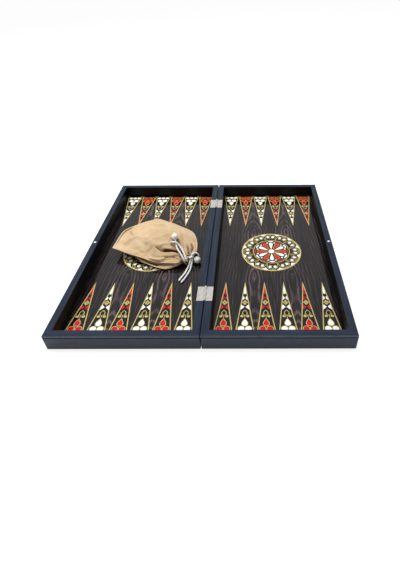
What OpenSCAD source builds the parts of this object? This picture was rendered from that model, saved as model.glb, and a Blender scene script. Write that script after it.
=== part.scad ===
// Folding backgammon board lying open, with a drawstring pouch of checkers in its left tray.
// Origin: middle of the open board on the table. +X to the right, +Y to the rear, +Z up.

/* [Board] */
// Width of the open board, across both halves
board_w = 490; // [400:5:600]
// Length of the board, along the hinge line
board_d = 480; // [400:5:600]
// Height of one half of the box
half_h = 30.5; // [28:0.5:45]
// Width of a rail, seen from above
rail_w = 13; // [11:0.5:20]
// Gap between the two hinge rails when the board lies open
seam_gap = 1; // [0.6:0.1:2]
// Radius of the upright outer corners
corner_r = 1.5; // [0.5:0.25:3]

/* [Rail moulding] */
// Radius of the lip's outer top edge
lip_r = 1.8; // [0.5:0.1:3]
// Radius of the inner top edge
inner_r = 0.8; // [0.3:0.1:2]
// Height of the lip above the groove
lip_h = 3.6; // [3:0.1:6]
// Width of the groove round the outer faces
groove_w = 1.3; // [0.8:0.1:2.5]
// Depth of the groove
groove_d = 1; // [0.5:0.1:2]

/* [Playing panel] */
// Thickness of the playing panel
panel_t = 4; // [3:0.5:6]
// Height of the panel's underside above the table
panel_lift = 0.7; // [0.4:0.1:2]
// Width of the rabbet that the panel sits in
rabbet_w = 6; // [4:0.5:9]
// Gap between the panel's edge and the rabbet
panel_gap = 0.2; // [0.1:0.05:0.5]

/* [Hinges] */
// Length of a hinge along the seam
hinge_len = 34; // [25:1:50]
// Distance of each hinge's middle from the board's middle
hinge_y = 148; // [80:1:170]
// Number of knuckles of a hinge, an odd number
knuckle_count = 5; // [3:2:7]
// Outer radius of a knuckle
knuckle_r = 2.2; // [1.8:0.1:3]
// Radius of the hinge pin
pin_r = 1.1; // [0.8:0.05:1.4]
// Thickness of a hinge leaf
leaf_t = 1; // [0.8:0.1:1.5]
// Depth of a leaf's face under the rim
leaf_sink = 0.1; // [0.05:0.05:0.3]
// Height of the hinge axis above the rim
axis_lift = 0.2; // [0.15:0.05:0.5]
// Radius of a screw's shank
screw_r = 1.2; // [1:0.1:1.6]
// Radius of a screw's head
screw_head_r = 2.4; // [2:0.1:3]
// Length of a screw
screw_len = 9; // [6:0.5:12]

/* [Magnets] */
// Diameter of the closing magnets
magnet_d = 5; // [4:0.5:8]
// Thickness of the closing magnets
magnet_t = 3; // [2:0.5:5]

/* [Checkers and dice] */
// Diameter of a checker, as a share of the width of a point
checker_share = 0.77; // [0.65:0.01:0.93]
// Thickness of a checker
checker_t = 8; // [6:0.5:10]
// Width of a die
die_w = 10; // [8:0.5:12]

/* [Pouch] */
// Thickness of the pouch's cloth with its hem and lining
cloth_t = 1.2; // [0.8:0.1:2]
// Slack of the cloth over the stacked checkers
pouch_slack = 11; // [9:0.5:14]
// Turn of the pouch on the panel, in degrees
pouch_turn = -34; // [-40:1:-20]
// Distance from the left hinge rail to the pouch's mouth
mouth_gap = 31.5; // [28:0.5:45]
// Distance of the pouch's middle behind the board's middle
pouch_shift_y = 7; // [0:1:20]

/* [Cords and beads] */
// Diameter of the white drawcord
cord_d = 3.4; // [3:0.1:3.8]
// Diameter of the bead that lies on the pouch
upper_bead_d = 13; // [11:0.5:14]
// Diameter of the bead that lies on the panel
lower_bead_d = 14.5; // [12:0.5:15]

/* [Hidden] */

$fn = 48;
EPS = 0.01;
soft_gap = 0.3;         // air between a soft piece and its neighbours
part_gap = 0.3;         // air between loose hard pieces
fit_gap = 0.05;         // radial gap of a glued or driven piece in its hole
pin_press = 0.02;       // radial gap of the pin in the knuckles that hold it
pin_run = 0.06;         // radial gap of the pin in the knuckles that turn on it
knuckle_gap = 0.2;      // gap between two knuckles
barrel_room = 0.3;      // gap round the barrel in the rails
leaf_room = 0.2;        // gap at each end of a leaf in its recess
groove_chamfer = 0.5;   // eased lower edge of the groove
recess_d = 0.7;         // depth of the cross recess in a screw
recess_w = 0.5;         // width of the cross recess
screw_end_gap = 6;      // from a leaf's end to the middle of a screw
screw_tip = 2;          // length of a screw's point
screw_offset = 0.6;     // screws sit this much nearer to the tray than the leaf's middle

field_z = panel_lift + panel_t;
axis_z = half_h + axis_lift;
half_x0 = seam_gap / 2;
half_x1 = board_w / 2;
groove_z = half_h - lip_h - groove_w;
leaf_z = half_h - leaf_sink - leaf_t;
leaf_x0 = knuckle_r + barrel_room + fit_gap;
leaf_x1 = half_x0 + rail_w - EPS;
screw_x = (leaf_x0 + leaf_x1) / 2 + screw_offset;
screw_z = half_h - leaf_sink - fit_gap;

// Points of an arc round (cx, cy) from angle a to angle b.
function arc(cx, cy, r, a, b, n = 6) =
    [for (i = [0:n]) [cx + r * cos(a + (b - a) * i / n), cy + r * sin(a + (b - a) * i / n)]];

// Section of a rail: x is 0 on the outer face and grows towards the tray, y is the height.
rail_section = concat(
    [[0, 0], [0, groove_z - groove_chamfer], [groove_d, groove_z], [groove_d, groove_z + groove_w],
     [0, groove_z + groove_w]],
    arc(lip_r, half_h - lip_r, lip_r, 180, 90),
    arc(rail_w - inner_r, half_h - inner_r, inner_r, 90, 0),
    [[rail_w, field_z], [rail_w - rabbet_w, field_z], [rail_w - rabbet_w, 0]]);

// ---- Rails: the modules draw the right half, and the left half is its mirror image ----

module half_block() {
    x0 = half_x0 + corner_r;
    x1 = half_x1 - corner_r;
    y1 = board_d / 2 - corner_r;
    linear_extrude(half_h) polygon(concat(
        arc(x1, y1, corner_r, 0, 90), arc(x0, y1, corner_r, 90, 180),
        arc(x0, -y1, corner_r, 180, 270), arc(x1, -y1, corner_r, 270, 360)));
}

// Plan of a rail along +X with both ends mitred at 45 degrees.
module mitre_plan(length) {
    linear_extrude(half_h) polygon([[0, 0], [length, 0],
        [length - rail_w, rail_w], [rail_w, rail_w]]);
}

module front_rail() {
    length = half_x1 - half_x0;
    intersection() {
        translate([half_x0, -board_d / 2, 0])
            rotate([90, 0, 90]) linear_extrude(length) polygon(rail_section);
        translate([half_x0, -board_d / 2, 0]) mitre_plan(length);
        half_block();
    }
}

module side_rail_blank() {
    intersection() {
        translate([half_x0, board_d / 2, 0])
            rotate([90, 0, 0]) linear_extrude(board_d) polygon(rail_section);
        translate([half_x0, board_d / 2, 0]) rotate([0, 0, -90]) mitre_plan(board_d);
        half_block();
    }
}

module hinge_rail() {
    difference() {
        side_rail_blank();
        for (y = [-hinge_y, hinge_y]) hinge_recess(y);
    }
}

module outer_rail() {
    difference() {
        translate([half_x0 + half_x1, 0, 0]) mirror([1, 0, 0]) side_rail_blank();
        translate([half_x1 - rail_w / 2, 0, half_h - magnet_t - 2 * fit_gap])
            cylinder(d = magnet_d + 2 * fit_gap, h = magnet_t + 1);
    }
}

module hinge_recess(y) {
    length = hinge_len + 2 * leaf_room;
    translate([-1, y - length / 2, leaf_z - fit_gap]) cube([rail_w + 3, length, leaf_t + 1]);
    translate([0, y + length / 2, axis_z])
        rotate([90, 0, 0]) cylinder(r = knuckle_r + barrel_room, h = length);
    for (s = screw_places(y))
        translate([s.x, s.y, screw_z - screw_len - part_gap])
            cylinder(r = screw_r + fit_gap, h = screw_len);
}

module panel() {
    side = rail_w - rabbet_w + panel_gap;
    translate([half_x0 + side, side - board_d / 2, panel_lift])
        cube([half_x1 - half_x0 - 2 * side, board_d - 2 * side, panel_t]);
}

// ---- Hinges ----

function screw_places(y) = [for (e = [-1, 1]) [screw_x, y + e * (hinge_len / 2 - screw_end_gap)]];

module along_y(y) translate([0, y, axis_z]) rotate([-90, 0, 0]) children();

// One leaf, on the right of the axis, with every second knuckle from the given one.
module leaf(y, first, bore_gap) {
    pitch = hinge_len / knuckle_count;
    length = pitch - knuckle_gap;
    y0 = y - hinge_len / 2;
    sink_r = screw_head_r + 2 * fit_gap;
    difference() {
        union() {
            translate([leaf_x0, y0, leaf_z]) cube([leaf_x1 - leaf_x0, hinge_len, leaf_t]);
            for (i = [first:2:knuckle_count - 1]) {
                along_y(y0 + i * pitch + knuckle_gap / 2) cylinder(r = knuckle_r, h = length);
                translate([0, y0 + i * pitch + knuckle_gap / 2, leaf_z])
                    cube([leaf_x0 + 1, length, leaf_t]);
            }
        }
        along_y(y0 - 1) cylinder(r = pin_r + bore_gap, h = hinge_len + 2);
        for (s = screw_places(y)) {
            translate([s.x, s.y, leaf_z - EPS])
                cylinder(r1 = sink_r - leaf_t, r2 = sink_r, h = leaf_t + 2 * EPS);
        }
    }
}

module pin(y) along_y(y - hinge_len / 2) cylinder(r = pin_r, h = hinge_len);

module screw(p) {
    translate([p.x, p.y, screw_z]) difference() {
        union() {
            translate([0, 0, -leaf_t])
                cylinder(r1 = screw_head_r - leaf_t, r2 = screw_head_r, h = leaf_t);
            translate([0, 0, -screw_len + screw_tip]) cylinder(r = screw_r, h = screw_len - screw_tip);
            translate([0, 0, -screw_len]) cylinder(r1 = screw_r / 4, r2 = screw_r, h = screw_tip);
        }
        for (a = [0, 90]) rotate([0, 0, a])
            translate([-screw_head_r / 2, -recess_w / 2, -recess_d]) cube([screw_head_r, recess_w, 1]);
    }
}

module leaf_screws() for (y = [-hinge_y, hinge_y]) for (s = screw_places(y)) screw(s);

module magnet() {
    translate([half_x1 - rail_w / 2, 0, half_h - magnet_t - fit_gap])
        cylinder(d = magnet_d, h = magnet_t);
}

// ---- Pouch and what it holds, drawn along the pouch's own length towards its mouth ----

dish_d = 0.5;           // depth of the dish in a checker's face
points_a_side = 6;
checker_d = checker_share * (half_x1 - half_x0 - 2 * rail_w) / points_a_side;
column_pitch = checker_d + 2 * part_gap;
row_pitch = column_pitch * sin(60);
layer = checker_t + part_gap;
pouch_z = field_z + soft_gap;
content_z = pouch_z + cloth_t + part_gap;
content_a = 1.5 * column_pitch + checker_d / 2;
content_b = row_pitch + checker_d / 2;
column_heights = [[2, 2, 2], [4, 4, 4, 2], [3, 4, 3]];
pouch_top = content_z + 4 * layer + pouch_slack;
top_lobe_r = 0.65 * checker_d;
neck_a = content_a + 24;
neck_z = pouch_z + 13;
neck_r = 6.5;

// Columns of checkers: rows from the front side to the rear side, and the height of each column.
checker_places = [for (row = [0:2]) for (i = [0:len(column_heights[row]) - 1])
    for (level = [0:column_heights[row][i] - 1])
        [(i - (len(column_heights[row]) - 1) / 2) * column_pitch, (row - 1) * row_pitch,
         content_z + level * layer]];

// Corners and swellings of the filled pouch: place and radius.
pouch_lobes = [
    [-content_a + 1, -content_b - 18, pouch_z + 19, 4],
    [-content_a - 8, -content_b / 3, pouch_z + 25, 10],
    [-content_a + 10, 6, pouch_z + 33, 8],
    [-content_a + 20, content_b + 6, pouch_z + 32, 6],
    [0, -content_b - 8, pouch_z + 13, 5],
    [content_a - 12, -content_b - 2, pouch_z + 10, 6],
    [content_a - 14, content_b + 6, pouch_z + 27, 8],
    [content_a + 5, content_b - 4, pouch_z + 20, 12],
    [neck_a, 0, neck_z, neck_r],
    [-content_a / 3, 2, pouch_top - top_lobe_r, top_lobe_r],
    [content_a / 4, 3, pouch_top - top_lobe_r - 2.5, top_lobe_r]];

// The dice lie side by side in the cloth, between the checkers and the mouth.
die_places = [for (s = [-1, 1])
    [content_a + die_w / 2 + 1, 4 + s * (die_w / 2 + part_gap), content_z + die_w / 2 + 6]];

// The mouth is a little below and in front of the end of the neck.
mouth = [-half_x0 - rail_w - mouth_gap, pouch_shift_y + neck_a * sin(pouch_turn) - 3.8, neck_z];
pouch_x = mouth.x - 2.4 - neck_a * cos(pouch_turn);

module in_pouch() translate([pouch_x, pouch_shift_y, 0]) rotate([0, 0, pouch_turn]) children();

module pouch_form(inset) {
    hull() {
        for (e = [-1, 1]) translate([e * (content_a - content_b), 0, pouch_z + inset])
            cylinder(r = content_b + 4 - inset, h = 1, $fn = 32);
        for (l = pouch_lobes) translate([l.x, l.y, l.z]) sphere(r = l[3] - inset, $fn = 20);
    }
}

module checkers(parity) {
    in_pouch() for (i = [parity:2:len(checker_places) - 1]) translate(checker_places[i]) checker();
}

// A turned checker with a shallow dish in each face.
module checker() {
    difference() {
        cylinder(d = checker_d, h = checker_t);
        for (z = [0, checker_t])
            translate([0, 0, z - dish_d]) cylinder(d = checker_d * 0.7, h = 2 * dish_d);
    }
}

module die() {
    pip = die_w * 0.09;
    difference() {
        intersection() {
            cube(die_w, center = true);
            sphere(r = die_w * 0.74);
        }
        translate([0, 0, die_w / 2]) sphere(r = pip, $fn = 16);
        for (x = [-1, 1]) for (z = [-1, 0, 1])
            translate([x * die_w / 4, die_w / 2, z * die_w / 4]) sphere(r = pip, $fn = 16);
        for (s = [-1, 1])
            translate([die_w / 2, s * die_w / 4, s * die_w / 4]) sphere(r = pip, $fn = 16);
        for (s = [-1, 0, 1])
            translate([-die_w / 2, s * die_w / 4, s * die_w / 4]) sphere(r = pip, $fn = 16);
    }
}

// ---- Beads and cords, placed from the pouch's mouth ----

bead_bore = cord_d + 1;

module bead(d, direction) {
    rotate([0, acos(direction.z / norm(direction)), atan2(direction.y, direction.x)]) difference() {
        sphere(d = d);
        cylinder(d = bead_bore, h = d, center = true);
    }
}

function unit(v) = v / norm(v);

// One ring of the tube round point p, square to the direction t.
function ring(p, t, sides) =
    let (u = unit(cross(t, [0.2, 0.1, 1])), w = cross(u, t))
    [for (i = [0:sides - 1]) p + cord_d / 2 * (u * cos(i * 360 / sides) + w * sin(i * 360 / sides))];

// A tube swept along its points, closed with a flat face at each end.
module swept_cord(points, sides = 8) {
    n = len(points);
    tangents = [for (i = [0:n - 1]) unit(points[min(i + 1, n - 1)] - points[max(i - 1, 0)])];
    rings = [for (i = [0:n - 1]) each ring(points[i], tangents[i], sides)];
    walls = [for (i = [0:n - 2]) for (k = [0:sides - 1])
        let (a = i * sides + k, b = i * sides + (k + 1) % sides)
        each [[a, b, b + sides], [a, b + sides, a + sides]]];
    ends = [[for (k = [0:sides - 1]) sides - 1 - k],
        [for (k = [0:sides - 1]) (n - 1) * sides + k]];
    translate(mouth) polyhedron(rings, concat(ends, walls), convexity = 6);
}

// Middle of each bead and the way its bore points; the cords' points end along the same way.
upper_bead_place = [-27, 35.5, 30.5];
upper_bead_way = [-3, 11, 10];
lower_bead_place = [18, 6, -5.7];
lower_bead_way = [-2.5, -3, -7.2];
knot_place = [7.8, 3.5, 4.2];
knot_r = 3.8;

bead_cord_points = [[-3.8, -2.5, -4], [-6.5, -3.9, 3.4], [-11.9, 3, 10], [-17.3, 10, 14.2],
    [-21.7, 17, 17], [-24, 24.5, 20.5], [-27, 35.5, 30.5], [-28.9, 42.5, 36.9]];
knotted_cord_points = [[0.3, -1.7, -3], [-2, -3.7, 4.3], [-6, 4.8, 10.8], [-11, 13.3, 15],
    [-16, 20, 18.8], [-20, 23, 22.4], [-25, 24.5, 25], [-31, 25, 24.5], [-37, 26, 24.5]];
looped_cord_points = [[2.5, 1.5, 3], [6.5, 3, 4.5], [10, 6.5, 7.5], [14.5, 9.5, 9.5], [19, 10.5, 7],
    [20.5, 9, 1.5], [18, 6, -5.7], [17, 4.5, -9]];
left_tail_points = [[6, 2.4, 0.6], [4.6, -1.5, -4], [2.5, -7, -8.5], [0, -15, -11], [-3, -27, -11],
    [-8, -39, -11], [-11.5, -49, -11]];
right_tail_points = [[9.8, 2.8, 1], [8.5, -3, -4.5], [7, -10.5, -9.5], [5.5, -20, -11], [2, -33, -11],
    [-2, -44, -11], [-6.5, -54, -11]];

module at_mouth(p) translate(mouth + p) children();

// ---- Nodes ----

DARK = "darkslategray";
WOOD = [0.2, 0.15, 0.14];
NICKEL = "silver";
color(DARK) mirror([1, 0, 0]) front_rail();  // left_front_rail
color(DARK) mirror([1, 0, 0]) mirror([0, 1, 0]) front_rail();  // left_rear_rail
color(DARK) mirror([1, 0, 0]) outer_rail();  // left_outer_rail
color(DARK) mirror([1, 0, 0]) hinge_rail();  // left_hinge_rail
color(WOOD) mirror([1, 0, 0]) panel();  // left_panel
color(DARK) front_rail();  // right_front_rail
color(DARK) mirror([0, 1, 0]) front_rail();  // right_rear_rail
color(DARK) outer_rail();  // right_outer_rail
color(DARK) hinge_rail();  // right_hinge_rail
color(WOOD) panel();  // right_panel
color(NICKEL) mirror([1, 0, 0]) leaf(-hinge_y, 0, pin_press);  // front_hinge_left_leaf
color(NICKEL) leaf(-hinge_y, 1, pin_run);  // front_hinge_right_leaf
color(NICKEL) pin(-hinge_y);  // front_hinge_pin
color(NICKEL) mirror([1, 0, 0]) leaf(hinge_y, 0, pin_press);  // rear_hinge_left_leaf
color(NICKEL) leaf(hinge_y, 1, pin_run);  // rear_hinge_right_leaf
color(NICKEL) pin(hinge_y);  // rear_hinge_pin
color(NICKEL) mirror([1, 0, 0]) leaf_screws();  // left_leaf_screws
color(NICKEL) leaf_screws();  // right_leaf_screws
color("gainsboro") mirror([1, 0, 0]) magnet();  // left_magnet
color("gainsboro") magnet();  // right_magnet
color("burlywood") in_pouch() difference() {  // pouch
    pouch_form(0);
    pouch_form(cloth_t);
}
color("ivory") checkers(0);  // light_checkers
color("maroon") checkers(1);  // dark_checkers
color("white") in_pouch() for (p = die_places) translate(p) die();  // dice
color("white") at_mouth(upper_bead_place) bead(upper_bead_d, upper_bead_way);  // upper_bead
color("white") at_mouth(lower_bead_place) bead(lower_bead_d, lower_bead_way);  // lower_bead
color("white") at_mouth(knot_place) sphere(r = knot_r);  // cord_knot
color("white") swept_cord(bead_cord_points);  // bead_cord
color("white") swept_cord(knotted_cord_points);  // knotted_cord
color("white") swept_cord(looped_cord_points);  // looped_cord
color("white") swept_cord(left_tail_points);  // left_tail_cord
color("white") swept_cord(right_tail_points);  // right_tail_cord
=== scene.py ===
import math

import bpy
import numpy as np
from mathutils import Matrix, Vector


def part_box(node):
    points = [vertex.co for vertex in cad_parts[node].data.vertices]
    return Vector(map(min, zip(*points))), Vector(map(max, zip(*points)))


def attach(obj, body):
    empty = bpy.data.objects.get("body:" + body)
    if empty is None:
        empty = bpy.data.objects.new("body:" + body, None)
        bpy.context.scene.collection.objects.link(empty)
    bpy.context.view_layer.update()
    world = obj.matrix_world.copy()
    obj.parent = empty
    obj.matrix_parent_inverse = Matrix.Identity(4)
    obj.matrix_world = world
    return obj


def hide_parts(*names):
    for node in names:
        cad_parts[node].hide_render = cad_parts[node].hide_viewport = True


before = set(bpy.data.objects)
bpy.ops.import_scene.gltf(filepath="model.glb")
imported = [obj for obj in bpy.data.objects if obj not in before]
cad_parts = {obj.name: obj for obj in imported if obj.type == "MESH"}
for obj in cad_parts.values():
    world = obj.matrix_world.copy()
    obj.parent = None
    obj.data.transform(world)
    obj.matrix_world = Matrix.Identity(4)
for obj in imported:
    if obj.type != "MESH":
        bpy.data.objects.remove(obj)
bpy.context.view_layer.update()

scene = bpy.context.scene
scene.view_settings.view_transform = "Standard"

# ---- Sizes from the frame, in millimetres ----

MM = 0.001
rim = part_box("right_front_rail")[1].z / MM
half_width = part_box("right_outer_rail")[1].x / MM
half_depth = -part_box("right_front_rail")[0].y / MM
wall_y = -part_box("right_front_rail")[1].y / MM
tray_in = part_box("right_hinge_rail")[1].x / MM
tray_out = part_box("right_outer_rail")[0].x / MM
half_middle = (tray_in + tray_out) / 2
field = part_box("right_panel")[1].z / MM  # the playing surface

# ---- Camera ----

camera = bpy.data.objects.new("camera", bpy.data.cameras.new("camera"))
scene.collection.objects.link(camera)
scene.camera = camera
camera.data.lens = 23.89
camera.data.shift_x, camera.data.shift_y = -0.0820, -0.0796
camera.data.clip_start, camera.data.clip_end = 0.05, 20
camera_place = (0.0767, -0.6143, 0.4969)
yaw, tilt, roll = [math.radians(a) for a in (0.466, 90 - 36.92, -0.515)]
camera.matrix_world = (Matrix.Translation(camera_place) @ Matrix.Rotation(yaw, 4, "Z")
                       @ Matrix.Rotation(tilt, 4, "X") @ Matrix.Rotation(roll, 4, "Z"))


# ---- Finishes ----

def srgb(red, green, blue):
    """A colour of 0 to 255 as the linear colour that a shader takes."""
    parts = [c / 255 for c in (red, green, blue)]
    return [c / 12.92 if c <= 0.04045 else ((c + 0.055) / 1.055) ** 2.4 for c in parts] + [1.0]


class Value:
    """A socket of a finish's nodes, with shader maths."""

    def __init__(self, finish, socket):
        self.finish, self.socket = finish, socket

    def math(self, operation, *others, clamp=False):
        return self.finish.math(operation, self, *others, clamp=clamp)

    def __add__(self, other):
        return self.math("ADD", other)

    def __sub__(self, other):
        return self.math("SUBTRACT", other)

    def __rsub__(self, other):
        return self.finish.math("SUBTRACT", other, self)

    def __mul__(self, other):
        return self.math("MULTIPLY", other)

    def __pow__(self, other):
        return self.math("POWER", other)

    def __abs__(self):
        return self.math("ABSOLUTE")

    __radd__ = __add__
    __rmul__ = __mul__

    def sin(self):
        return self.math("SINE")

    def waves(self, gap):
        """Swings from 1 to 0 and back once in each gap."""
        return (self * (2 * math.pi / gap)).math("COSINE") * 0.5 + 0.5

    def clamped(self):
        return self.math("MULTIPLY", 1.0, clamp=True)

    def between(self, low, high):
        """0 below low, 1 above high, and smooth between them; low may be the higher."""
        return self.finish.node("ShaderNodeMapRange", {"interpolation_type": "SMOOTHSTEP"},
                                {0: self, 1: low, 2: high, 3: 0.0, 4: 1.0})


class Finish:
    """A material with its Principled shader; constants are set on the shader's own sockets."""

    def __init__(self, name, **constants):
        self.material = bpy.data.materials.new(name)
        self.material.use_nodes = True
        self.tree = self.material.node_tree
        self.shader = self.tree.nodes["Principled BSDF"]
        for socket, value in constants.items():
            self.shader.inputs[socket.replace("_", " ")].default_value = value
        self.place = self.node("ShaderNodeTexCoord", out="Object")
        self.x, self.y, self.z = [self.node("ShaderNodeSeparateXYZ", {}, {0: self.place}, k) * 1000.0
                                  for k in range(3)]

    def node(self, kind, settings=None, inputs=None, out=0):
        made = self.tree.nodes.new(kind)
        for key, value in (settings or {}).items():
            setattr(made, key, value)
        for key, value in (inputs or {}).items():
            if isinstance(value, Value):
                self.tree.links.new(value.socket, made.inputs[key])
            else:
                made.inputs[key].default_value = value
        return Value(self, made.outputs[out])

    def math(self, operation, *values, clamp=False):
        return self.node("ShaderNodeMath", {"operation": operation, "use_clamp": clamp},
                         dict(enumerate(values)))

    def vector(self, x, y, z):
        return self.node("ShaderNodeCombineXYZ", {}, {0: x, 1: y, 2: z})

    def noise(self, vector, scale, detail=3.0, roughness=0.55):
        return self.node("ShaderNodeTexNoise", {}, {"Vector": vector, "Scale": scale, "Detail": detail,
                                                    "Roughness": roughness})

    def mix(self, factor, a, b):
        return self.node("ShaderNodeMix", {"data_type": "RGBA"}, {0: factor, 6: a, 7: b}, 2)

    def feed(self, **links):
        for socket, value in links.items():
            self.tree.links.new(value.socket, self.shader.inputs[socket.replace("_", " ")])
        return self

    def bump(self, height, distance, strength=1.0):
        """A normal from a height of 0 to 1 that stands for a distance in metres."""
        return self.feed(Normal=self.node("ShaderNodeBump", {}, {"Strength": strength, "Distance": distance,
                                                                 "Height": height}))


def rail_finish(name, along):
    """Dark stained rail: grain along the rail, a lip lightened as wear and painted highlight, and a wall
    towards the tray of dark wood painted near black as painted shade.
    """
    f = Finish(name, Specular_IOR_Level=0.2, Coat_Roughness=0.3)
    stretch = (12.0, 340.0, 340.0) if along == "x" else (340.0, 12.0, 340.0)
    grain = f.noise(f.node("ShaderNodeMapping", {}, {"Vector": f.place, "Scale": stretch}), 1.0, 5.0, 0.6)
    mottle = f.noise(f.place, 55.0, 4.0)
    blue = f.mix(grain.between(0.3, 0.72), srgb(31, 38, 51), srgb(49, 57, 73))
    blue = f.mix((mottle.between(0.4, 0.75)) * 0.35, blue, srgb(37, 52, 69))
    # Painted shade: the walls towards the tray are dark wood with grain, painted near black for the shade in
    # the tray.
    inside = (abs(f.y).between(wall_y + 0.6, wall_y + 0.2)
              * abs(f.x).between(tray_out + 0.6, tray_out + 0.2)
              * abs(f.x).between(tray_in - 0.6, tray_in - 0.2) * f.z.between(rim - 0.05, rim - 0.5))
    tray_wall_painted_shade = f.mix(grain.between(0.35, 0.75), srgb(1, 1, 1), srgb(6, 4, 4))
    # Painted highlight and wear: the rounded top of the outer lip is lightened where its highlight falls, in
    # rubbed patches.
    lip_width = 2.1
    outside = f.math("MAXIMUM", abs(f.y) - (half_depth - lip_width), abs(f.x) - (half_width - lip_width))
    lip = outside.between(0.3, 1.8) * f.z.between(rim - 3.1, rim - 1.9)
    wear_and_painted_highlight = lip * f.noise(f.place, 160.0, 4.0).between(0.1, 0.5) * 0.7
    colour = f.mix(inside, f.mix(wear_and_painted_highlight, blue, srgb(104, 108, 120)), tray_wall_painted_shade)
    f.feed(Base_Color=colour, Roughness=0.38 + 0.14 * mottle, Coat_Weight=(1.0 - inside) * 0.1)
    return f.bump(grain, 0.00006).material


def veneer_finish():
    """Book-matched flat-sawn veneer: long ovals and arches beside a straight middle, under clear gloss."""
    oval_x, oval_y, oval_run, oval_height = 36.0, 72.0, 145.0, 15.0
    ring_gap, fine_gap, drift = 6.4, 1.7, 0.12
    f = Finish("panel_veneer", Roughness=0.3, Specular_IOR_Level=0.1, Coat_Weight=1.0,
               Coat_Roughness=0.03, Coat_IOR=1.5)
    warp = f.noise(f.vector(abs(f.x) * 0.022, f.y * 0.009, 3.7), 1.0, 3.0)
    wobble = f.noise(f.vector(abs(f.x) * 0.09, f.y * 0.03, 8.1), 1.0, 3.0)
    across = abs(abs(abs(f.x) - half_middle) - oval_x) + (warp - 0.5) * 9.0
    along = ((f.y - oval_y) * (math.pi / oval_run) + (warp - 0.5) * 0.35).sin() * oval_height
    from_oval = (across * across + along * along) ** 0.5 + (wobble - 0.5) * 4.0
    ring = from_oval + f.y * drift
    fibre = f.noise(f.vector(abs(f.x) * 1.3, f.y * 0.03, f.z), 1.0, 4.0, 0.6)
    patch = f.noise(f.vector(abs(f.x) * 0.05, f.y * 0.02, 1.3), 1.0, 3.0)
    strength = (0.16 + 0.36 * from_oval.between(30.0, 10.0)) * patch.between(0.25, 0.6)
    line = (ring.waves(ring_gap) ** 2.4) * strength + ring.waves(fine_gap) * 0.05
    line = line * (0.65 + 0.6 * fibre.between(0.25, 0.75)) + fibre.between(0.45, 0.85) * 0.18
    streak = f.noise(f.vector(abs(f.x) * 0.35, f.y * 0.006, 5.0), 1.0, 2.0).between(0.45, 0.75) * 0.22
    dark = f.mix(patch.between(0.3, 0.7), srgb(4, 2, 2), srgb(13, 8, 8))
    f.feed(Base_Color=f.mix((line + streak).between(0.0, 0.95), dark, srgb(120, 98, 103)))
    return f.bump(line, 0.00002, 0.4).material


def inlay_finish(name, low, high, metallic=0.0, roughness=0.24):
    """Inlaid pieces under the same lacquer, each with its own cloudy shade."""
    f = Finish(name, Metallic=metallic, Specular_IOR_Level=0.1, Coat_Weight=1.0, Coat_Roughness=0.04,
               Coat_IOR=1.5)
    cloud = f.noise(f.place, 130.0, 3.0)
    cell = f.node("ShaderNodeTexVoronoi", {}, {"Vector": f.place, "Scale": 85.0}, 0)
    shade = cloud.between(0.25, 0.75) * 0.75 + cell * 2.25
    f.feed(Base_Color=f.mix(shade.clamped(), srgb(*low), srgb(*high)),
           Roughness=roughness + 0.12 * cloud)
    return f.bump(cloud, 0.00004).material


def nickel_finish():
    """Nickel plate with fine scratches and dull spots."""
    f = Finish("hinge_nickel", Metallic=0.75)
    scratch = f.noise(f.vector(f.x * 3.2, f.y * 0.22, f.z * 3.2), 1.0, 5.0, 0.7)
    spot = f.noise(f.place, 260.0, 3.0)
    colour = f.mix(spot.between(0.42, 0.68), srgb(246, 243, 236), srgb(226, 222, 213))
    f.feed(Base_Color=f.mix(scratch.between(0.55, 0.7) * 0.4, colour, srgb(168, 163, 152)),
           Roughness=0.27 + 0.22 * scratch)
    return f.bump(scratch, 0.00003).material


def magnet_finish():
    """Bright plating with a fine swirl."""
    f = Finish("magnet_plate", Metallic=0.1)
    swirl = f.noise(f.place, 900.0, 4.0)
    f.feed(Base_Color=f.mix(swirl.between(0.3, 0.7), srgb(250, 251, 252), srgb(226, 228, 232)),
           Roughness=0.14 + 0.18 * swirl)
    return f.bump(swirl, 0.00002).material


def cloth_finish():
    """Brushed ochre cotton with a fine weave, with painted shade in hollows and in the folds' creases."""
    f = Finish("pouch_cotton", Roughness=0.9, Specular_IOR_Level=0.2, Sheen_Weight=0.25, Sheen_Roughness=0.5)
    cloud = f.noise(f.place, 38.0, 4.0)
    nap = f.noise(f.place, 620.0, 4.0, 0.65)
    warp = (f.x * 5.1 + f.y * 3.4 + (nap - 0.5) * 2.0).sin()
    weft = (f.y * 5.1 - f.x * 3.4 + f.z * 4.4 + (nap - 0.5) * 2.0).sin()
    weave = warp * weft * 0.5 + 0.5
    colour = f.mix(cloud.between(0.3, 0.72), srgb(205, 175, 134), srgb(221, 195, 159))
    colour = f.mix(weave.between(0.2, 0.9) * 0.25, colour, srgb(200, 163, 112))
    colour = f.mix(nap.between(0.5, 0.78) * 0.3, colour, srgb(233, 212, 179))
    # Painted shade: the colour turns deep brown where ambient occlusion finds hollows.
    ambient_occlusion = f.node("ShaderNodeAmbientOcclusion", {"samples": 8}, {"Distance": 0.014}, 1)
    painted_crease_shade = f.node("ShaderNodeAttribute", {"attribute_name": "painted_crease_shade"}, out="Fac")
    colour = f.mix(ambient_occlusion.between(0.92, 0.3) * 0.92, colour, srgb(118, 70, 24))
    # Painted shade: the crease attribute turns the colour a near-black brown in the folds.
    f.feed(Base_Color=f.mix(painted_crease_shade.clamped(), colour, srgb(58, 24, 4)))
    return f.bump(weave * 0.4 + nap, 0.00025).material


def cord_finish():
    """White cotton braid: the strands are modelled, and fibres and shade between them are here."""
    f = Finish("cord_cotton", Roughness=0.75, Specular_IOR_Level=0.3, Sheen_Weight=0.2)
    fibre = f.noise(f.place, 1900.0, 4.0, 0.7)
    soil = f.noise(f.place, 90.0, 2.0)
    colour = f.mix(fibre.between(0.35, 0.7), srgb(228, 227, 224), srgb(250, 250, 248))
    f.feed(Base_Color=f.mix(soil.between(0.5, 0.8) * 0.25, colour, srgb(222, 214, 198)))
    return f.bump(fibre, 0.00012).material


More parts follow.
